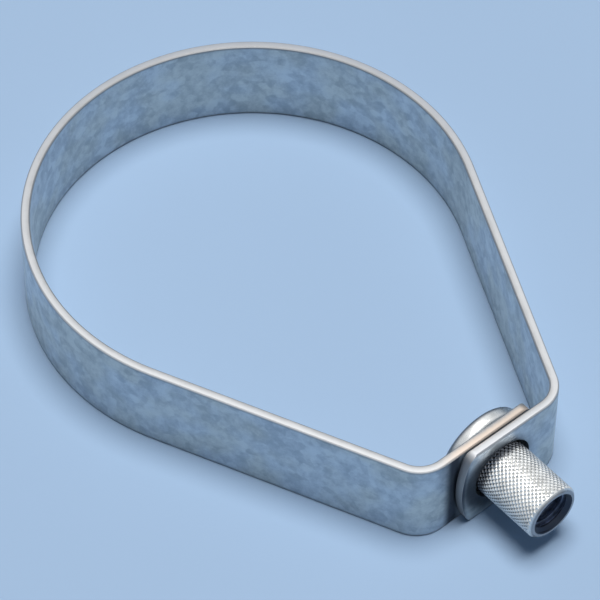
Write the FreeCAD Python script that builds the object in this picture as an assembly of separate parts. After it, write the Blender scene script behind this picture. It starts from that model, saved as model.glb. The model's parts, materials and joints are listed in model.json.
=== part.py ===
import FreeCAD, Part
import math
import os

# Teardrop pipe hanger: one bent strip of galvanised steel and the flanged, knurled nut that
# swivels in its two overlapping tabs. It lies on the slit edge of the strip. Z is the axis of the
# pipe, X is the axis of the hanging rod, and the origin is where the two axes cross.

# Pipe and ring, in millimetres
pipe_diameter = 88.9
pipe_clearance = 0.55

# Strip
strip_thickness = 1.9
strip_width = 20.6

# Neck: how far the tabs stand off the ring, and the bends between the straight legs and the tabs
neck_height = 26.5
bend_inner_radius = 5.7

# Tabs: folded across each other, each with a rounded end past its hole. The inner tab ends close to
# the bend of the outer one, and the outer tab leaves more room before the bend of the inner one.
tab_spring_gap = 0.3
tab_end_reach = 10.6
tab_end_radius = 24.0
inner_tab_to_bend = 0.5
outer_tab_to_bend = 3.0

# Swivel nut
nut_body_diameter = 12.6
nut_hole_clearance = 0.75
nut_reach = 14.6
nut_end_chamfer = 0.45
knurl_columns = 36
knurl_depth = 0.34
flange_setback = 0.3
flange_thickness = 3.2
flange_rim_radius = 1.1
flange_seat_clearance = 0.1

# Rod thread: the bore is at the thread's minor diameter, the mouths open to the major one
thread_major_diameter = 9.525
thread_minor_diameter = 8.0
mouth_relief = 0.2

ring_inner_radius = pipe_diameter / 2 + pipe_clearance
ring_radius = ring_inner_radius + strip_thickness / 2
tab_contact_x = ring_radius + strip_thickness / 2 + neck_height
bend_radius = bend_inner_radius + strip_thickness / 2
tab_step = (tab_spring_gap + strip_thickness) / 2
nut_body_radius = nut_body_diameter / 2
tab_hole_radius = nut_body_radius + nut_hole_clearance


def flat(x, y):
    """A point in the plane of the strip's side view, at the middle of its width."""
    return FreeCAD.Vector(x, y, 0)


def leg_edges(side, offset):
    """One leg, bend and tab at an offset outwards from the strip's centre line, ring to tab end.

    side is 1 for the leg that carries the outer tab and -1 for the one that carries the inner tab.
    The straight leg is the common tangent of the ring and the bend.
    """
    tab_x = tab_contact_x + side * tab_step
    bend_y = tab_end_reach + (inner_tab_to_bend if side > 0 else outer_tab_to_bend)
    bend_centre = flat(tab_x - bend_radius, side * bend_y)
    lean = math.acos((ring_radius - bend_radius) / bend_centre.Length)
    angle = math.atan2(bend_centre.y, bend_centre.x) + side * lean
    leg_normal = flat(math.cos(angle), math.sin(angle))
    tab_normal = flat(1, 0)
    bend_normal = (leg_normal + tab_normal).normalize()
    ring_point = leg_normal * (ring_radius + offset)
    bend_start = bend_centre + leg_normal * (bend_radius + offset)
    bend_middle = bend_centre + bend_normal * (bend_radius + offset)
    bend_end = bend_centre + tab_normal * (bend_radius + offset)
    tab_end = flat(tab_x + offset, -side * tab_end_reach)
    return ring_point, tab_end, [
        Part.LineSegment(ring_point, bend_start).toShape(),
        Part.Arc(bend_start, bend_middle, bend_end).toShape(),
        Part.LineSegment(bend_end, tab_end).toShape(),
    ]


def strip_side(offset):
    """All edges of one face of the strip, seen along the pipe, and its two free ends."""
    outer_tangent, outer_end, outer_leg = leg_edges(1, offset)
    inner_tangent, inner_end, inner_leg = leg_edges(-1, offset)
    ring = Part.Arc(outer_tangent, flat(-ring_radius - offset, 0), inner_tangent).toShape()
    return outer_end, inner_end, outer_leg + [ring] + inner_leg


def tab_end_waste(side):
    """What is sheared off past the rounded end of one tab."""
    half_width = strip_width / 2
    arc_centre = tab_end_reach - tab_end_radius
    corner_y = arc_centre + math.sqrt(tab_end_radius**2 - half_width**2)
    beyond = tab_end_reach + min(inner_tab_to_bend, outer_tab_to_bend) / 2
    start_x = tab_contact_x if side > 0 else tab_contact_x - tab_spring_gap - strip_thickness
    low = FreeCAD.Vector(start_x, -side * corner_y, -half_width)
    apex = FreeCAD.Vector(start_x, -side * tab_end_reach, 0)
    high = FreeCAD.Vector(start_x, -side * corner_y, half_width)
    high_out = FreeCAD.Vector(start_x, -side * beyond, half_width)
    low_out = FreeCAD.Vector(start_x, -side * beyond, -half_width)
    outline = Part.Wire([
        Part.Arc(low, apex, high).toShape(),
        Part.LineSegment(high, high_out).toShape(),
        Part.LineSegment(high_out, low_out).toShape(),
        Part.LineSegment(low_out, low).toShape(),
    ])
    return Part.Face(outline).extrude(FreeCAD.Vector(tab_spring_gap + strip_thickness, 0, 0))


def make_band():
    """The strip as bent: ring, two legs, two bends and two tabs, with a hole through each tab."""
    outer_side = strip_side(strip_thickness / 2)
    inner_side = strip_side(-strip_thickness / 2)
    free_ends = [
        Part.LineSegment(outer_side[0], inner_side[0]).toShape(),
        Part.LineSegment(outer_side[1], inner_side[1]).toShape(),
    ]
    outline = Part.Wire(Part.sortEdges(outer_side[2] + inner_side[2] + free_ends)[0])
    band = Part.Face(outline).extrude(FreeCAD.Vector(0, 0, strip_width))
    band.translate(FreeCAD.Vector(0, 0, -strip_width / 2))
    band = band.cut(tab_end_waste(1))
    band = band.cut(tab_end_waste(-1))
    drill = Part.makeCylinder(
        tab_hole_radius,
        4 * tab_step + 2 * strip_thickness,
        FreeCAD.Vector(tab_contact_x - 2 * tab_step - strip_thickness, 0, 0),
        FreeCAD.Vector(1, 0, 0),
    )
    return band.cut(drill)


def knurl_point(x, half_steps, radius):
    """A point of the knurl: half_steps counts half diamonds round the rod's axis."""
    angle = math.pi * half_steps / knurl_columns
    return FreeCAD.Vector(x, radius * math.cos(angle), radius * math.sin(angle))


def knurl_ring(x, radius):
    """The closed outline of a ring of knurl points, one at each half diamond."""
    return [knurl_point(x, half_steps, radius) for half_steps in range(2 * knurl_columns)]


def closed_wire(points):
    return Part.makePolygon(points + points[:1])


def ring_face(outside, hole):
    """A flat face between an outline and the outline of the hole in it."""
    return Part.makeFace([outside, hole], "Part::FaceMakerBullseye")


def make_knurl(start_x, end_x, tip_radius, root_radius):
    """The diamond knurl: rings of points whose tips and groove crossings take turns.

    The diamonds are about as long as they are wide, so their number along the nut follows from the
    number round it. Four flat faces rise to each tip. The first and the last ring lie in the groove.
    """
    pitch = 2 * math.pi * tip_radius / knurl_columns
    half_rows = 2 * max(1, round((end_x - start_x) / pitch))
    last_step = 2 * knurl_columns
    rings = []
    for row in range(half_rows + 1):
        x = start_x + (end_x - start_x) * row / half_rows
        inside = 0 < row < half_rows
        ring = []
        for step in range(last_step):
            tip = inside and (row + step) % 2 == 1
            ring.append(knurl_point(x, step, tip_radius if tip else root_radius))
        rings.append(ring)
    faces = []
    for row in range(half_rows):
        for step in range(last_step):
            after = (step + 1) % last_step
            here, beside = rings[row][step], rings[row][after]
            above, across = rings[row + 1][step], rings[row + 1][after]
            if (row + step) % 2 == 0:
                corners = ((here, beside, across), (here, across, above))
            else:
                corners = ((here, beside, above), (beside, across, above))
            faces += [Part.Face(closed_wire(list(triangle))) for triangle in corners]
    return faces


def make_swivel_nut():
    """The nut: a turned flange and bore, and a body knurled in diamonds out through the tabs."""
    seat_x = tab_contact_x - tab_spring_gap / 2 - strip_thickness - flange_seat_clearance
    back_x = seat_x - flange_thickness
    end_x = tab_contact_x + tab_spring_gap / 2 + strip_thickness + nut_reach
    knurl_end_x = end_x - nut_end_chamfer
    flange_radius = strip_width / 2 - flange_setback
    bore_radius = thread_minor_diameter / 2
    mouth_radius = thread_major_diameter / 2 + mouth_relief
    mouth_depth = mouth_radius - bore_radius
    rim_radius = min(flange_rim_radius, flange_thickness * 0.45)
    rim_diagonal = rim_radius * (1 - math.sqrt(0.5))
    back_rim = [
        flat(back_x, flange_radius - rim_radius),
        flat(back_x + rim_diagonal, flange_radius - rim_diagonal),
        flat(back_x + rim_radius, flange_radius),
    ]
    front_rim = [
        flat(seat_x - rim_radius, flange_radius),
        flat(seat_x - rim_diagonal, flange_radius - rim_diagonal),
        flat(seat_x, flange_radius - rim_radius),
    ]
    bore = [
        flat(end_x, mouth_radius),
        flat(end_x - mouth_depth, bore_radius),
        flat(back_x + mouth_depth, bore_radius),
        flat(back_x, mouth_radius),
        back_rim[0],
    ]
    edges = [Part.LineSegment(start, end).toShape() for start, end in zip(bore, bore[1:])]
    edges.append(Part.Arc(*back_rim).toShape())
    edges.append(Part.LineSegment(back_rim[2], front_rim[0]).toShape())
    edges.append(Part.Arc(*front_rim).toShape())
    turned = Part.Wire(edges).revolve(FreeCAD.Vector(0, 0, 0), FreeCAD.Vector(1, 0, 0), 360)

    root_radius = nut_body_radius - knurl_depth
    knurl = make_knurl(seat_x, knurl_end_x, nut_body_radius, root_radius)
    seat_ring = knurl_ring(seat_x, root_radius)
    chamfer_start = knurl_ring(knurl_end_x, root_radius)
    chamfer_end = knurl_ring(end_x, root_radius - nut_end_chamfer)
    chamfer = []
    for step, corner in enumerate(chamfer_start):
        after = (step + 1) % len(chamfer_start)
        sides = [corner, chamfer_start[after], chamfer_end[after], chamfer_end[step]]
        chamfer.append(Part.Face(closed_wire(sides)))
    along = FreeCAD.Vector(1, 0, 0)
    seat_edge = Part.Wire(Part.makeCircle(flange_radius - rim_radius, flat(seat_x, 0), along))
    mouth_edge = Part.Wire(Part.makeCircle(mouth_radius, flat(end_x, 0), along))
    seat = ring_face(seat_edge, closed_wire(seat_ring))
    end_face = ring_face(closed_wire(chamfer_end), mouth_edge)
    shell = Part.makeShell(turned.Faces + knurl + chamfer + [seat, end_face])
    shell.sewShape()
    nut = Part.makeSolid(shell)
    if nut.Volume < 0:
        nut.reverse()
    return nut


os.makedirs("parts", exist_ok=True)
pieces = {"band": make_band(), "swivel_nut": make_swivel_nut()}
for name, shape in pieces.items():
    shape.exportStep(f"parts/{name}.step")
    box = shape.BoundBox
    print(name, "solids", len(shape.Solids), "valid", shape.isValid(), "volume", round(shape.Volume, 1))
    print("  x", round(box.XMin, 2), round(box.XMax, 2), "y", round(box.YMin, 2), round(box.YMax, 2),
          "z", round(box.ZMin, 2), round(box.ZMax, 2))
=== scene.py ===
"""Teardrop pipe hanger: one bent galvanised strip and the knurled nut that swivels in its tabs."""

import json
import math

import bmesh
import bpy
from bpy.props import FloatProperty, FloatVectorProperty, IntProperty, PointerProperty
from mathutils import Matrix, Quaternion, Vector


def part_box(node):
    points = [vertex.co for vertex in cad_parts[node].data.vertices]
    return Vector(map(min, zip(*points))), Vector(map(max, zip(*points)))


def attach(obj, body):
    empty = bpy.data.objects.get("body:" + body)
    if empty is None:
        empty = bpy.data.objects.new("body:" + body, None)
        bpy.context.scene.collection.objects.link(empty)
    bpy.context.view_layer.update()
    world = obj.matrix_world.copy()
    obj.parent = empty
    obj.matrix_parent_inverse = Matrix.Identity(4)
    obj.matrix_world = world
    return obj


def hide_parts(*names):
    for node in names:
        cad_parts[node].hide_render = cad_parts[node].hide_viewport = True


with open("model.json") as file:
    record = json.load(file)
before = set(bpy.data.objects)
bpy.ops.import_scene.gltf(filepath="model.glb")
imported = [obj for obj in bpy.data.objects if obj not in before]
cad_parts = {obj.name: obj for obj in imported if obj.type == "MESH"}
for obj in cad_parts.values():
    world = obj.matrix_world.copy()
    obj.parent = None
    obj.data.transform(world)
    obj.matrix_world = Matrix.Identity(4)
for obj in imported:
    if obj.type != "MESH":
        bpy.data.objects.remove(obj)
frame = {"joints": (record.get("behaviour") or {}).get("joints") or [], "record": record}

bl_info = {
    "name": "Teardrop pipe hanger",
    "version": (1, 0, 0),
    "blender": (4, 5, 0),
    "location": "3D View > Sidebar > Hanger",
    "description": "Models a teardrop pipe hanger with its swivel nut, and the stage it lies on",
    "category": "Add Mesh",
}

MM = 0.001

# Sizes that the frame already holds
band_low, band_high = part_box("band")
nut_low, nut_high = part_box("swivel_nut")
MOUNTS = {mount["name"]: mount for mount in frame["record"]["mounts"]}
SWIVEL = frame["joints"][0]
RING_INNER_RADIUS = MOUNTS["pipe_seat"]["dims"]["r_mm"] * MM
STRIP_THICKNESS = -band_low.x - RING_INNER_RADIUS
STRIP_WIDTH = band_high.z - band_low.z
TAB_CONTACT_X = SWIVEL["pos_m"][0]
TAB_SPRING_GAP = 2 * (band_high.x - TAB_CONTACT_X - STRIP_THICKNESS)
BORE_RADIUS = MOUNTS["rod_thread"]["dims"]["r_mm"] * MM
BORE_LENGTH = MOUNTS["rod_thread"]["dims"]["length_mm"] * MM
FLANGE_RADIUS = nut_high.y
NUT_LENGTH = nut_high.x - nut_low.x
MOUTH_DEPTH = (NUT_LENGTH - BORE_LENGTH) / 2
MOUTH_RADIUS = BORE_RADIUS + MOUTH_DEPTH


def length(name, default, description):
    """A size in metres that the sidebar shows in the scene's units."""
    return FloatProperty(name=name, default=default, description=description,
                         min=0.0, precision=5, subtype="DISTANCE", unit="LENGTH")


def colour(name, default, description):
    """A colour in linear light."""
    return FloatVectorProperty(name=name, default=default, description=description,
                               size=3, min=0.0, max=1.0, subtype="COLOR")


class HangerStripSizes(bpy.types.PropertyGroup):
    """Sizes of the bent strip."""

    thickness: length("Thickness", STRIP_THICKNESS, "Thickness of the strip")
    width: length("Width", STRIP_WIDTH, "Width of the strip, along the pipe")
    ring_radius: length("Ring radius", RING_INNER_RADIUS, "Inner radius of the ring round the pipe")
    bend_radius: length("Bend radius", 5.7 * MM, "Inner radius of the bends beside the tabs")
    outer_bend: length("Outer bend", 11.1 * MM, "From the hole's centre to the outer tab's bend")
    inner_bend: length("Inner bend", 13.6 * MM, "From the hole's centre to the inner tab's bend")
    tab_reach: length("Tab reach", 10.6 * MM, "From the hole's centre to the rounded end of a tab")
    tab_end_radius: length("Tab end radius", 24.0 * MM, "Radius of a tab's rounded end")
    hole_radius: length("Hole radius", 7.05 * MM, "Radius of the hole in each tab")
    slit_rounding: length("Slit rounding", 0.4 * MM, "Rounding of the strip's slit edges")
    tab_corner: length("Tab corner", 1.4 * MM, "Rounding of the corners of a tab's end")
    break_edge: length("Broken edge", 0.18 * MM, "Width of the break on punched edges")
    ring_steps: IntProperty(name="Ring steps", default=132, min=24,
                            description="Segments in the ring")


class HangerNutSizes(bpy.types.PropertyGroup):
    """Sizes of the swivel nut."""

    body_radius: length("Body radius", 6.3 * MM, "Radius over the tips of the knurl")
    flange_thickness: length("Flange thickness", 3.2 * MM, "Thickness of the flange")
    rim_radius: length("Rim radius", 1.1 * MM, "Rounding of the flange's rim")
    end_chamfer: length("End chamfer", 0.45 * MM, "Chamfer round the free end")
    knurl_depth: length("Knurl depth", 0.34 * MM, "Depth of the knurl's grooves")
    thread_pitch: length("Thread pitch", 25.4 / 16 * MM, "Pitch of the rod thread")
    thread_radius: length("Thread radius", 4.7625 * MM, "Major radius of the rod thread")
    columns: IntProperty(name="Knurl columns", default=36, min=12,
                         description="Diamonds round the knurled body")


class HangerFinish(bpy.types.PropertyGroup):
    """Colours of the metals and of the stage."""

    zinc_light: colour("Light zinc", (0.58, 0.64, 0.685), "Light blotches of the galvanised faces")
    zinc_dark: colour("Dark zinc", (0.38, 0.44, 0.50), "Dark blotches of the galvanised faces")
    stain: colour("Stain", (1.0, 0.96, 0.88), "Tint of the warmer patches on the faces")
    slit_metal: colour("Slit metal", (0.46, 0.46, 0.46), "Burnished part of the slit edges")
    # Painted shade: the slit metal as it looks round the back of the ring, away from the light.
    shaded_slit_metal: colour("Dull metal", (0.34, 0.35, 0.37), "The same at the back of the ring")
    torn_metal: colour("Torn metal", (0.33, 0.33, 0.33), "Torn part of the slit edges")
    warm_metal: colour("Warm metal", (0.57, 0.48, 0.405), "Slit edge of the inner tab")
    # Painted shade: the shade colour laid round the nut on the outer tab, in the gap beside that
    # tab's end and along both slit edges.
    painted_shade: colour("Grime", (0.02, 0.03, 0.05), "Grime at the hole, the tab's end and slit edges")
    plate: colour("Plate", (0.81, 0.80, 0.77), "Bright zinc plate of the nut")
    # Painted shade on both ends of the nut.
    shaded_plate: colour("Dull plate", (0.16, 0.17, 0.20), "Plate at both ends of the nut")
    # Painted shade on the nut where it leaves its hole.
    nut_shade: colour("Nut grime", (0.04, 0.05, 0.07), "Grime where the nut leaves its hole")
    # Painted shade: the bore's oily steel is also darkened for the shade that falls in it.
    thread_metal_and_shade: colour("Thread metal", (0.20, 0.24, 0.33), "Oiled steel of the nut's bore")
    floor: colour("Floor", (0.376, 0.52, 0.71), "Plain pale floor")


class HangerSettings(bpy.types.PropertyGroup):
    """All settings of the hanger, one group for each sub-part."""

    strip: PointerProperty(type=HangerStripSizes, name="Strip", description="The bent strip")
    nut: PointerProperty(type=HangerNutSizes, name="Nut", description="The swivel nut")
    finish: PointerProperty(type=HangerFinish, name="Finish", description="Colours")


class Signal:
    """A shader socket in an expression. Each operation adds its Math node."""

    def __init__(self, shader, socket):
        self.shader = shader
        self.socket = socket

    def __add__(self, other):
        return self.shader.maths("ADD", self, other)

    def __sub__(self, other):
        return self.shader.maths("SUBTRACT", self, other)

    def __rsub__(self, other):
        return self.shader.maths("SUBTRACT", other, self)

    def __mul__(self, other):
        return self.shader.maths("MULTIPLY", self, other)

    __radd__ = __add__
    __rmul__ = __mul__


class Shader:
    """The nodes of one material, or of the world, with its coordinates at hand."""

    def __init__(self, owner, coordinates="Object"):
        owner.use_nodes = True
        self.owner = owner
        self.tree = owner.node_tree
        self.tree.nodes.clear()
        self.place = self.node("TexCoord", out=coordinates)

    def node(self, kind, settings=None, sockets=None, out=0):
        """Adds a node: its settings first, then the values or links of its sockets."""
        node = self.tree.nodes.new("ShaderNode" + kind)
        for name, value in (settings or {}).items():
            setattr(node, name, value)
        for name, value in (sockets or {}).items():
            if isinstance(value, Signal):
                self.tree.links.new(value.socket, node.inputs[name])
            else:
                node.inputs[name].default_value = value
        return Signal(self, node.outputs[out]) if node.outputs else None

    def maths(self, operation, first, second=0.0):
        """Adds a Math node."""
        return self.node("Math", {"operation": operation}, {0: first, 1: second})

    def fade(self, value, start, full):
        """Rises smoothly from 0 where the value is start to 1 where it is full."""
        return self.node("MapRange", {"interpolation_type": "SMOOTHSTEP"}, {
            "Value": value, "From Min": start, "From Max": full})

    def blend(self, factor, first, second, mode="MIX"):
        """Mixes two colours."""
        first = first if isinstance(first, Signal) else (*first, 1.0)
        second = second if isinstance(second, Signal) else (*second, 1.0)
        return self.node("Mix", {"data_type": "RGBA", "blend_type": mode},
                         {0: factor, 6: first, 7: second}, out=2)

    def noise(self, feature, detail=3.0):
        """Noise whose blotches are about as wide as feature, in metres."""
        return self.node("TexNoise", sockets={
            "Vector": self.place, "Scale": 1.0 / feature, "Detail": detail, "Roughness": 0.55})

    def along(self, axis):
        """Place along one axis."""
        return self.node("SeparateXYZ", sockets={"Vector": self.place}, out=axis)

    def apart(self, axis, middle):
        """Distance along one axis from a place on it."""
        return self.maths("ABSOLUTE", self.along(axis) - middle)

    def from_rod(self, aside):
        """Distance from a line along the rod that lies this far from its axis, along Y."""
        across = self.node("VectorMath", {"operation": "MULTIPLY"}, {
            0: self.place, 1: (0.0, 1.0, 1.0)})
        return self.node("VectorMath", {"operation": "DISTANCE"}, {
            0: across, 1: (0.0, aside, 0.0)}, out="Value")

    def bump(self, height, strength, distance):
        """A bump that the Normal socket takes."""
        return self.node("Bump", sockets={
            "Height": height, "Strength": strength, "Distance": distance})

    def finish(self, **sockets):
        """Ends the material in a Principled shader."""
        names = {name.replace("_", " "): value for name, value in sockets.items()}
        shader = self.node("BsdfPrincipled", sockets=names)
        self.node("OutputMaterial", sockets={"Surface": shader})
        return self.owner


def galvanised_faces(finish):
    """Dull zinc: soft blotches, spangle crystals and a fine grain, with painted shade round the nut
    on the outer tab, in the gap beside that tab's end and along both slit edges.
    """
    shader = Shader(bpy.data.materials.new("galvanised_faces"))
    blotches = shader.noise(5 * MM, detail=4.0)
    clouds = shader.noise(1.7 * MM, detail=3.0)
    grain = shader.noise(0.45 * MM, detail=2.0)
    crystal_width = 1.8 * MM
    crystals = shader.node("TexVoronoi", {"feature": "SMOOTH_F1"}, {
        "Vector": shader.place, "Scale": 1.0 / crystal_width, "Smoothness": 0.35}, out="Color")
    spangle = shader.node("SeparateColor", sockets={"Color": crystals})
    tone = blotches * 0.34 + clouds * 0.34 + spangle * 0.15 + grain * 0.17
    tone = shader.fade(tone, 0.32, 0.66)
    zinc = shader.blend(tone, tuple(finish.zinc_dark), tuple(finish.zinc_light))
    warm_patches = shader.fade(shader.noise(13 * MM, detail=2.0), 0.40, 0.62)
    zinc = shader.blend(warm_patches, zinc, tuple(finish.stain), mode="MULTIPLY")

    half_width = STRIP_WIDTH / 2
    # Painted shade along both slit edges, standing in for the shading of the rounded edge and the
    # contact shadow along the floor.
    painted_edge_shade = shader.fade(shader.apart("Z", 0.0), half_width - 0.9 * MM, half_width - 0.2 * MM)
    outer_side = shader.fade(shader.along("X"), TAB_CONTACT_X - 1.2 * MM, TAB_CONTACT_X - 0.4 * MM)
    # Painted shade in the gap beside the outer tab's end, and a painted shadow of the nut on the
    # outer tab, centred a little to the nut's -Y side.
    tab_end_y = -11.0 * MM
    painted_nut_shadow_y = -1.8 * MM
    painted_notch_shade = outer_side * shader.fade(shader.apart("Y", tab_end_y), 2.6 * MM, 0.5 * MM)
    painted_nut_shadow = outer_side * shader.fade(shader.from_rod(painted_nut_shadow_y), 10.4 * MM, 7.2 * MM)
    # The strongest of the three painted shades mixes the zinc towards the shade colour.
    painted_shade = shader.maths("MAXIMUM", painted_nut_shadow * 0.78, painted_notch_shade * 0.93)
    painted_shade = shader.maths("MAXIMUM", painted_edge_shade * 0.4, painted_shade)
    return shader.finish(
        Base_Color=shader.blend(painted_shade, zinc, tuple(finish.painted_shade)),
        Metallic=0.85, Roughness=0.43 - tone * 0.10 + grain * 0.06,
        Normal=shader.bump(grain * 0.6 + clouds * 0.4, 0.22, 0.05 * MM))


def tab_mask(shader, side):
    """1 on one tab and 0 off it: side is 1 for the outer tab and -1 for the inner one."""
    middle = TAB_CONTACT_X + side * STRIP_THICKNESS / 2
    return (shader.fade(shader.apart("X", middle), 1.8 * MM, 0.9 * MM)
            * shader.fade(shader.apart("Y", 0.0), 16 * MM, 8 * MM))


def slit_edges(finish):
    """Sheared metal: burnished on the outer two thirds, torn and duller on the inner third.

    Painted light: it is brightest towards the front and beside the tabs, and in painted shade the
    further it lies round the back of the ring.
    """
    shader = Shader(bpy.data.materials.new("slit_edges"))
    patches = shader.noise(4 * MM)
    marks = shader.noise(0.35 * MM)
    across = shader.node("SeparateXYZ", sockets={
        "Vector": shader.node("TexCoord", out="UV")}, out="X")
    burnished = shader.fade(across + patches * 0.30 + marks * 0.14, 0.42, 0.80)
    # Painted light: the slit edges lighten towards the front of the hanger and take painted shade
    # round its back.
    from_back = shader.along("X") * 0.75 - shader.along("Y") * 0.66 + patches * (20 * MM)
    brighter = shader.fade(from_back, -50 * MM, 30 * MM)
    metal = shader.blend(brighter, tuple(finish.shaded_slit_metal), tuple(finish.slit_metal))
    # The outer tab's edge is mixed part way towards the shaded slit metal.
    metal = shader.blend(tab_mask(shader, 1) * 0.3, metal, tuple(finish.shaded_slit_metal))
    metal = shader.blend(tab_mask(shader, -1), metal, tuple(finish.warm_metal))
    return shader.finish(
        Base_Color=shader.blend(burnished, tuple(finish.torn_metal), metal),
        Metallic=0.9, Roughness=0.40 + marks * 0.18,
        Normal=shader.bump(marks, 0.2, 0.04 * MM))


def bright_plate(finish):
    """Bright zinc plate, with painted shade at both ends of the nut and where it leaves its hole.
    """
    shader = Shader(bpy.data.materials.new("bright_plate"))
    clouds = shader.noise(2.5 * MM)
    grain = shader.noise(0.25 * MM, detail=2.0)
    cloudy = tuple(0.82 * part for part in finish.plate)
    plate = shader.blend(shader.fade(clouds, 0.35, 0.65), cloudy, tuple(finish.plate))
    # Painted shade on the flat face of the free end.
    free_end = shader.fade(shader.apart("X", nut_high.x), 0.4 * MM, 0.1 * MM)
    plate = shader.blend(free_end * 0.7, plate, tuple(finish.shaded_plate))
    # Painted shade on the body just outside the outer tab, where the hole shades it.
    painted_shade = shader.fade(shader.apart("X", band_high.x) + clouds * MM, 2.7 * MM, 0.9 * MM)
    plate = shader.blend(painted_shade * 0.88, plate, tuple(finish.nut_shade))
    # Painted shade round the back of the flange, for the shaded line along its rim.
    back_edge = shader.fade(shader.apart("X", nut_low.x), 1.5 * MM, 0.5 * MM)
    return shader.finish(
        Base_Color=shader.blend(back_edge * 0.8, plate, tuple(finish.shaded_plate)),
        Metallic=1.0, Roughness=0.22 + grain * 0.14,
        Normal=shader.bump(grain, 0.12, 0.03 * MM))


def oiled_thread(finish):
    """Oily steel of the threaded bore, darkened as painted shade, and in the deepest painted shade
    on its countersunk mouths.
    """
    shader = Shader(bpy.data.materials.new("oiled_thread"))
    film = shader.noise(1.5 * MM, detail=2.0)
    metal = tuple(finish.thread_metal_and_shade)
    thin = tuple(1.6 * part for part in metal)
    painted_mouth_shade = tuple(0.2 * part for part in metal)
    steel = shader.blend(shader.fade(film, 0.35, 0.65), metal, thin)
    middle = (nut_low.x + nut_high.x) / 2
    half_bore = BORE_LENGTH / 2
    # Painted shade, deepest on the countersunk mouths.
    mouth = shader.fade(shader.apart("X", middle), half_bore - 0.5 * MM, half_bore)
    return shader.finish(
        Base_Color=shader.blend(mouth, steel, painted_mouth_shade),
        Metallic=1.0, Roughness=0.34 + film * 0.12)


def floor_paper(finish):
    """Matt pale floor with barely visible clouds."""
    shader = Shader(bpy.data.materials.new("floor_paper"))
    clouds = shader.noise(60 * MM, detail=2.0)
    pale = tuple(finish.floor)
    deep = tuple(0.96 * part for part in pale)
    return shader.finish(Base_Color=shader.blend(clouds, deep, pale), Roughness=0.8)


def start_piece(name, scale=(1.0, 1.0, 1.0)):
    """Names the new primitive, sizes it and brings its place into its mesh."""
    piece = bpy.context.object
    piece.name = name
    piece.data.name = name
    piece.scale = scale
    bpy.ops.object.transform_apply(location=True, rotation=True, scale=True)
    return piece


def clear_selection():
    bpy.ops.object.select_all(action="DESELECT")


def move_points(piece, place_of):
    """Moves each point of the mesh in edit mode to the place that place_of gives, or leaves it."""
    mesh = bmesh.from_edit_mesh(piece.data)
    for point in mesh.verts:
        place = place_of(point.co)
        if place is not None:
            point.co = place
    bmesh.update_edit_mesh(piece.data)


def edit_all():
    """Enters edit mode with all of the mesh selected."""
    bpy.ops.object.mode_set(mode="EDIT")
    bpy.ops.mesh.select_all(action="SELECT")


def pick(piece, kind, wanted):
    """Selects, in edit mode, only the faces, edges or points that wanted picks out."""
    bpy.ops.mesh.select_mode(type=kind)
    bpy.ops.mesh.select_all(action="DESELECT")
    mesh = bmesh.from_edit_mesh(piece.data)
    for part in {"VERT": mesh.verts, "EDGE": mesh.edges, "FACE": mesh.faces}[kind]:
        if wanted(part):
            part.select_set(True)
    bmesh.update_edit_mesh(piece.data)


def turn_faces_out():
    """Merges doubles and turns all faces outwards, in edit mode."""
    bpy.ops.mesh.select_all(action="SELECT")
    bpy.ops.mesh.remove_doubles(threshold=0.001 * MM)
    bpy.ops.mesh.normals_make_consistent(inside=False)


def apply_modifier(piece, kind, **settings):
    """Adds a modifier with these settings and applies it."""
    modifier = piece.modifiers.new(kind.lower(), kind)
    for name, value in settings.items():
        setattr(modifier, name, value)
    bpy.context.view_layer.objects.active = piece
    bpy.ops.object.modifier_apply(modifier=modifier.name)


def finish_piece(piece, body, node):
    """The piece stands for a node of the frame and moves with its body."""
    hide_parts(node)
    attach(piece, body)


def leg_angle(side, ring_radius, bend_radius, bend_centre):
    """Direction in which a straight leg faces, as the common tangent of the ring and its bend."""
    lean = math.acos((ring_radius - bend_radius) / bend_centre.length)
    return math.atan2(bend_centre.y, bend_centre.x) + side * lean


def facing(angle):
    """The direction at an angle in the plane of the ring."""
    return Vector((math.cos(angle), math.sin(angle), 0.0))


def sweep(move):
    """Draws the selected section of the strip straight on."""
    bpy.ops.mesh.extrude_region_move(TRANSFORM_OT_translate={"value": move})


def bend(centre, angle, steps):
    """Draws the selected section of the strip round a centre, anticlockwise seen from above."""
    bpy.ops.mesh.spin(steps=steps, angle=-angle, center=centre, axis=(0.0, 0.0, 1.0))


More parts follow.
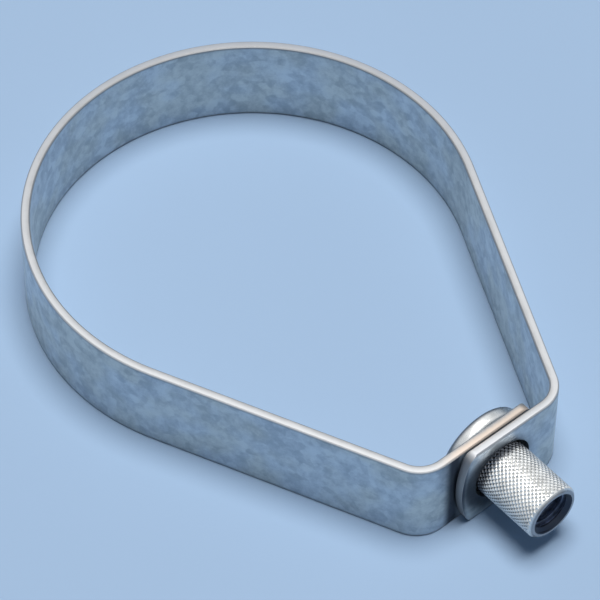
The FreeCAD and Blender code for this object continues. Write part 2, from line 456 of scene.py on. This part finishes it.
class HANGER_OT_band(bpy.types.Operator):
    """Bend the strip: outer tab, bend, leg, ring, leg, bend and inner tab, with their holes"""

    bl_idname = "hanger.band"
    bl_label = "Bent strip"

    section_columns = 8
    section_rows = 24
    bend_steps = 16
    hole_segments = 96
    punch_overhang = 4 * MM
    break_segments = 2
    sharp_angle = math.radians(50)
    smooth_angle = math.radians(32)
    # Part of a face's normal from which it counts as slit edge, tab end or broken edge
    slit_tilt = 0.25
    end_tilt = 0.6
    least_break_tilt, most_break_tilt = 0.2, 0.9

    def execute(self, context):
        strip = context.scene.hanger.strip
        ring_radius = strip.ring_radius + strip.thickness / 2
        bend_radius = strip.bend_radius + strip.thickness / 2
        step = (strip.thickness + TAB_SPRING_GAP) / 2
        outer_x = TAB_CONTACT_X + step
        inner_x = TAB_CONTACT_X - step
        outer_centre = Vector((outer_x - bend_radius, strip.outer_bend, 0.0))
        inner_centre = Vector((inner_x - bend_radius, -strip.inner_bend, 0.0))
        outer_angle = leg_angle(1, ring_radius, bend_radius, outer_centre)
        inner_angle = leg_angle(-1, ring_radius, bend_radius, inner_centre)
        outer_face = facing(outer_angle)
        inner_face = facing(inner_angle)
        full_turn = 2 * math.pi

        band = self.section(strip, outer_x)
        sweep((0.0, strip.outer_bend + strip.tab_reach, 0.0))
        bend(outer_centre, outer_angle, self.bend_steps)
        sweep(outer_face * ring_radius - (outer_centre + outer_face * bend_radius))
        bend((0.0, 0.0, 0.0), full_turn + inner_angle - outer_angle, strip.ring_steps)
        sweep(inner_centre + inner_face * bend_radius - inner_face * ring_radius)
        bend(inner_centre, -inner_angle, self.bend_steps)
        sweep((0.0, strip.inner_bend + strip.tab_reach, 0.0))
        self.round_tab_ends(band, strip)
        bpy.ops.mesh.select_all(action="SELECT")
        bpy.ops.mesh.normals_make_consistent(inside=False)
        bpy.ops.object.mode_set(mode="OBJECT")
        self.punch_holes(band, strip)
        self.paint(band, context.scene.hanger.finish, strip)
        bpy.ops.object.shade_smooth_by_angle(angle=self.smooth_angle)
        finish_piece(band, "band", "band")
        return {"FINISHED"}

    def section(self, strip, outer_x):
        """The strip's section at the end of the outer tab, its slit edges rounded."""
        clear_selection()
        bpy.ops.mesh.primitive_grid_add(
            x_subdivisions=self.section_columns, y_subdivisions=self.section_rows, size=1.0,
            location=(outer_x, -strip.tab_reach, 0.0), rotation=(math.pi / 2, 0.0, 0.0))
        band = start_piece("bent_strip", (strip.thickness, strip.width, 1.0))
        half_thickness = strip.thickness / 2
        half_width = strip.width / 2
        rounding = strip.slit_rounding

        def shaped(place):
            across = (place.x - outer_x) / half_thickness
            offset = half_thickness * math.sin(across * math.pi / 2)
            past = max(0.0, abs(offset) - (half_thickness - rounding))
            drop = rounding - math.sqrt(max(0.0, rounding**2 - past**2))
            height = (half_width - drop) * math.sin(place.z / half_width * math.pi / 2)
            return Vector((outer_x + offset, place.y, height))

        bpy.ops.object.mode_set(mode="EDIT")
        move_points(band, shaped)
        bpy.ops.mesh.select_all(action="SELECT")
        return band

    def round_tab_ends(self, band, strip):
        """Draws each tab's end back to its rounded outline."""
        radius = strip.tab_end_radius
        corner = strip.tab_corner
        near = 0.1 * MM

        def shaped(place):
            past_end = abs(place.y) - strip.tab_reach
            outer_end = place.x > TAB_CONTACT_X and place.y < 0
            inner_end = place.x < TAB_CONTACT_X and place.y > 0
            in_tabs = abs(place.x - TAB_CONTACT_X) < strip.thickness + TAB_SPRING_GAP
            if abs(past_end) > near or not in_tabs or not (outer_end or inner_end):
                return None
            drawn = radius - math.sqrt(radius**2 - place.z**2)
            past_corner = max(0.0, abs(place.z) - (strip.width / 2 - corner))
            drawn += corner - math.sqrt(max(0.0, corner**2 - past_corner**2))
            end = strip.tab_reach - drawn
            return Vector((place.x, math.copysign(end, place.y), place.z))

        move_points(band, shaped)

    def punch_holes(self, band, strip):
        """Cuts the holes through both tabs and breaks the punched edges."""
        clear_selection()
        depth = 2 * strip.thickness + TAB_SPRING_GAP + self.punch_overhang
        bpy.ops.mesh.primitive_cylinder_add(
            vertices=self.hole_segments, radius=strip.hole_radius, depth=depth,
            location=(TAB_CONTACT_X, 0.0, 0.0), rotation=(0.0, math.pi / 2, 0.0))
        punch = start_piece("punch")
        apply_modifier(band, "BOOLEAN", object=punch, operation="DIFFERENCE", solver="EXACT")
        bpy.data.objects.remove(punch)
        clear_selection()
        band.select_set(True)
        apply_modifier(band, "BEVEL", width=strip.break_edge, segments=self.break_segments,
                       limit_method="ANGLE", angle_limit=self.sharp_angle)

    def paint(self, band, finish, strip):
        """Galvanised faces, and brighter metal on slit edges and where punched edges are broken."""
        band.data.materials.append(galvanised_faces(finish))
        band.data.materials.append(slit_edges(finish))
        tab_start = TAB_CONTACT_X - 2 * strip.thickness
        for face in band.data.polygons:
            off_axis = math.hypot(face.center.y, face.center.z)
            in_tab = face.center.x > tab_start and abs(face.center.y) < strip.outer_bend
            in_hole = in_tab and off_axis < strip.hole_radius + strip.break_edge
            broken = in_tab and self.least_break_tilt < abs(face.normal.x) < self.most_break_tilt
            slit = abs(face.normal.z) > self.slit_tilt
            tab_end = in_tab and abs(face.normal.y) > self.end_tilt
            sheared = (slit or tab_end) and not in_hole
            face.material_index = 1 if sheared or broken else 0


class HANGER_OT_swivel_nut(bpy.types.Operator):
    """Turn the swivel nut, tap its rod thread and knurl its body in diamonds"""

    bl_idname = "hanger.swivel_nut"
    bl_label = "Swivel nut"

    rim_steps = 6
    tip_flat = 0.25 * MM
    tap_steps = 48
    tap_overlap = 0.3 * MM
    tap_spare_turns = 2
    crest_share = 1 / 16
    flank_angle = math.radians(30)
    smooth_angle = math.radians(25)
    flat_tilt = 0.99

    def execute(self, context):
        nut = context.scene.hanger.nut
        piece = self.turn(nut)
        self.tap_thread(piece, nut)
        self.cut_knurl(piece, nut)
        self.paint(piece, context.scene.hanger.finish)
        bpy.ops.object.shade_smooth_by_angle(angle=self.smooth_angle)
        finish_piece(piece, "nut", "swivel_nut")
        return {"FINISHED"}

    def knurl_span(self, nut):
        """Where the knurl starts and ends, and how many half diamonds lie between."""
        start = nut_low.x + nut.flange_thickness
        end = nut_high.x - nut.end_chamfer
        pitch = 2 * math.pi * nut.body_radius / nut.columns
        return start, end, 2 * round((end - start) / pitch)

    def outline(self, nut):
        """The turned shape as rings (place along the rod, radius), from the back mouth round."""
        back, end = nut_low.x, nut_high.x
        start, knurl_end, half_rows = self.knurl_span(nut)
        rim = nut.rim_radius
        shoulder = FLANGE_RADIUS - rim
        root = nut.body_radius - nut.knurl_depth
        quarter = [math.pi / 2 * turn / self.rim_steps for turn in range(self.rim_steps + 1)]
        rings = [(back, MOUTH_RADIUS)]
        for angle in quarter:
            rings.append((back + rim - rim * math.cos(angle), shoulder + rim * math.sin(angle)))
        for angle in quarter:
            rings.append((start - rim + rim * math.sin(angle), shoulder + rim * math.cos(angle)))
        for row in range(half_rows + 1):
            rings.append((start + (knurl_end - start) * row / half_rows, root))
        rings.append((end, root - nut.end_chamfer))
        rings.append((end, MOUTH_RADIUS))
        rings.append((end - MOUTH_DEPTH, BORE_RADIUS))
        rings.append((back + MOUTH_DEPTH, BORE_RADIUS))
        rings.append((back, MOUTH_RADIUS))
        return rings

    def turn(self, nut):
        """Draws a ring on from each place of the outline to the next, and resizes it."""
        rings = self.outline(nut)
        place, radius = rings[0]
        clear_selection()
        bpy.ops.mesh.primitive_circle_add(
            vertices=2 * nut.columns, radius=radius,
            location=(place, 0.0, 0.0), rotation=(0.0, math.pi / 2, 0.0))
        piece = start_piece("knurled_swivel_nut")
        edit_all()
        for next_place, next_radius in rings[1:]:
            bpy.ops.mesh.extrude_edges_move(
                TRANSFORM_OT_translate={"value": (next_place - place, 0.0, 0.0)})
            ratio = next_radius / radius
            bpy.ops.transform.resize(value=(1.0, ratio, ratio),
                                     center_override=(next_place, 0.0, 0.0))
            place, radius = next_place, next_radius
        turn_faces_out()
        bpy.ops.object.mode_set(mode="OBJECT")
        return piece

    def tap_thread(self, piece, nut):
        """Cuts the right-hand thread with a tap, one tooth drawn round a helix."""
        pitch = nut.thread_pitch
        crest = pitch * self.crest_share
        slope = math.tan(self.flank_angle)
        foot_radius = BORE_RADIUS - self.tap_overlap
        foot = crest + (nut.thread_radius - foot_radius) * slope
        start = nut_low.x - pitch
        turns = math.ceil(NUT_LENGTH / pitch) + self.tap_spare_turns
        tooth = ((start - foot, foot_radius), (start - crest, nut.thread_radius),
                 (start + crest, nut.thread_radius), (start + foot, foot_radius))
        clear_selection()
        bpy.ops.mesh.primitive_plane_add(size=1.0)
        tap = start_piece("tap")
        for index, (place, radius) in zip(tap.data.polygons[0].vertices, tooth):
            tap.data.vertices[index].co = (place, radius, 0.0)
        edit_all()
        bpy.ops.mesh.delete(type="ONLY_FACE")
        bpy.ops.object.mode_set(mode="OBJECT")
        apply_modifier(tap, "SCREW", axis="X", screw_offset=pitch, iterations=turns,
                       steps=self.tap_steps, render_steps=self.tap_steps, use_merge_vertices=False)
        edit_all()
        bpy.ops.mesh.fill_holes(sides=4)
        turn_faces_out()
        bpy.ops.object.mode_set(mode="OBJECT")
        apply_modifier(piece, "BOOLEAN", object=tap, operation="DIFFERENCE", solver="EXACT")
        bpy.data.objects.remove(tap)
        clear_selection()
        piece.select_set(True)

    def cut_knurl(self, piece, nut):
        """Raises every other point of the body into a tip, so that grooves cross between them."""
        start, end, half_rows = self.knurl_span(nut)
        root = nut.body_radius - nut.knurl_depth
        half_pitch = (end - start) / half_rows
        near = 0.01 * MM

        def is_tip(point):
            row = round((point.co.x - start) / half_pitch)
            on_body = abs(math.hypot(point.co.y, point.co.z) - root) < near
            if not on_body or not 0 < row < half_rows:
                return False
            step = round(math.atan2(point.co.z, point.co.y) * nut.columns / math.pi)
            return (row + step) % 2 == 1

        def is_body(face):
            middle = face.calc_center_median()
            on_body = abs(math.hypot(middle.y, middle.z) - root) < nut.knurl_depth
            return on_body and start < middle.x < end

        bpy.ops.object.mode_set(mode="EDIT")
        pick(piece, "VERT", is_tip)
        ratio = nut.body_radius / root
        bpy.ops.transform.resize(value=(1.0, ratio, ratio), center_override=(0.0, 0.0, 0.0))
        pick(piece, "FACE", is_body)
        bpy.ops.mesh.quads_convert_to_tris(quad_method="SHORTEST_DIAGONAL")
        pick(piece, "VERT", lambda point: abs(math.hypot(*point.co.yz) - nut.body_radius) < near)
        bpy.ops.mesh.bevel(affect="VERTICES", offset=self.tip_flat)
        bpy.ops.object.mode_set(mode="OBJECT")

    def paint(self, piece, finish):
        """Bright plate outside, oily steel in painted shade in the bore and its mouths."""
        piece.data.materials.append(bright_plate(finish))
        piece.data.materials.append(oiled_thread(finish))
        for face in piece.data.polygons:
            flat_end = abs(face.normal.x) > self.flat_tilt
            in_bore = math.hypot(face.center.y, face.center.z) < MOUTH_RADIUS
            face.material_index = 1 if in_bore and not flat_end else 0


class HANGER_OT_stage(bpy.types.Operator):
    """Lay the plain floor, light the room and set the camera"""

    bl_idname = "hanger.stage"
    bl_label = "Floor, light and camera"

    floor_size = 6.0
    room_light = (0.045, 0.065, 0.095)
    room_low = (0.34, 0.41, 0.50)
    room_high = (0.82, 0.86, 0.91)
    room_starts_paling, room_full_pale = 0.1, 0.75
    lamp_spread = math.radians(33)
    lamp_strength = 2.88
    lamp_lean = (math.radians(-4), math.radians(-1), 0.0)
    camera_azimuth = math.radians(48.72)
    camera_elevation = math.radians(50.62)
    camera_distance = 0.7933
    camera_roll = math.radians(0.73)
    camera_aim = Vector((17.67, -2.40, 0.0)) * MM
    camera_lens = 235.67
    camera_clip = 10 * MM

    def execute(self, context):
        scene = context.scene
        self.lay_floor(scene)
        self.light_world(scene)
        self.hang_light(scene)
        self.set_camera(scene)
        scene.view_settings.view_transform = "Standard"
        return {"FINISHED"}

    def lay_floor(self, scene):
        """A plain floor that the hanger's slit edge lies on."""
        clear_selection()
        bpy.ops.mesh.primitive_plane_add(size=self.floor_size, location=(0.0, 0.0, band_low.z))
        floor = start_piece("floor")
        floor.data.materials.append(floor_paper(scene.hanger.finish))

    def light_world(self, scene):
        """A pale room, paler overhead: metal shows it, but it adds little light of its own."""
        scene.world = bpy.data.worlds.new("studio")
        room = Shader(scene.world, coordinates="Generated")
        paler = room.fade(room.along("Z"), self.room_starts_paling, self.room_full_pale)
        shown = room.blend(paler, self.room_low, self.room_high)
        seen = room.node("LightPath", out="Is Camera Ray")
        for kind in ("Is Glossy Ray", "Is Transmission Ray"):
            seen = room.maths("MAXIMUM", seen, room.node("LightPath", out=kind))
        colour_of_room = room.blend(seen, self.room_light, shown)
        background = room.node("Background", sockets={"Color": colour_of_room})
        room.node("OutputWorld", sockets={"Surface": background})

    def hang_light(self, scene):
        """One broad, even light overhead."""
        lamp = bpy.data.lights.new("overhead_softbox", "SUN")
        lamp.angle = self.lamp_spread
        lamp.energy = self.lamp_strength
        light = bpy.data.objects.new("overhead_softbox", lamp)
        light.rotation_euler = self.lamp_lean
        scene.collection.objects.link(light)

    def set_camera(self, scene):
        """The viewing angle of the photo."""
        away = Vector((
            math.sin(self.camera_azimuth) * math.cos(self.camera_elevation),
            -math.cos(self.camera_azimuth) * math.cos(self.camera_elevation),
            math.sin(self.camera_elevation)))
        lens = bpy.data.cameras.new("camera")
        lens.lens = self.camera_lens
        lens.clip_start = self.camera_clip
        camera = bpy.data.objects.new("camera", lens)
        camera.location = self.camera_aim + away * self.camera_distance
        upright = (-away).to_track_quat("-Z", "Y")
        camera.rotation_mode = "QUATERNION"
        camera.rotation_quaternion = upright @ Quaternion((0.0, 0.0, 1.0), self.camera_roll)
        scene.collection.objects.link(camera)
        scene.camera = camera


class HANGER_PT_sidebar(bpy.types.Panel):
    """Sizes, colours and steps of the hanger"""

    bl_idname = "HANGER_PT_sidebar"
    bl_label = "Teardrop pipe hanger"
    bl_space_type = "VIEW_3D"
    bl_region_type = "UI"
    bl_category = "Hanger"

    def draw(self, context):
        settings = context.scene.hanger
        for group in (settings.strip, settings.nut, settings.finish):
            box = self.layout.box()
            for name in group.__annotations__:
                box.prop(group, name)
        for operator in OPERATORS:
            self.layout.operator(operator.bl_idname)


OPERATORS = (HANGER_OT_band, HANGER_OT_swivel_nut, HANGER_OT_stage)
CLASSES = (HangerStripSizes, HangerNutSizes, HangerFinish, HangerSettings,
           *OPERATORS, HANGER_PT_sidebar)


def register():
    for entry in CLASSES:
        bpy.utils.register_class(entry)
    bpy.types.Scene.hanger = PointerProperty(type=HangerSettings, name="Hanger",
                                             description="Settings of the pipe hanger")


def unregister():
    del bpy.types.Scene.hanger
    for entry in reversed(CLASSES):
        bpy.utils.unregister_class(entry)


def main():
    """Makes the pieces and the stage."""
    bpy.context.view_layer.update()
    register()
    bpy.ops.hanger.band()
    bpy.ops.hanger.swivel_nut()
    bpy.ops.hanger.stage()
    bpy.context.view_layer.update()


if __name__ == "__main__":
    main()
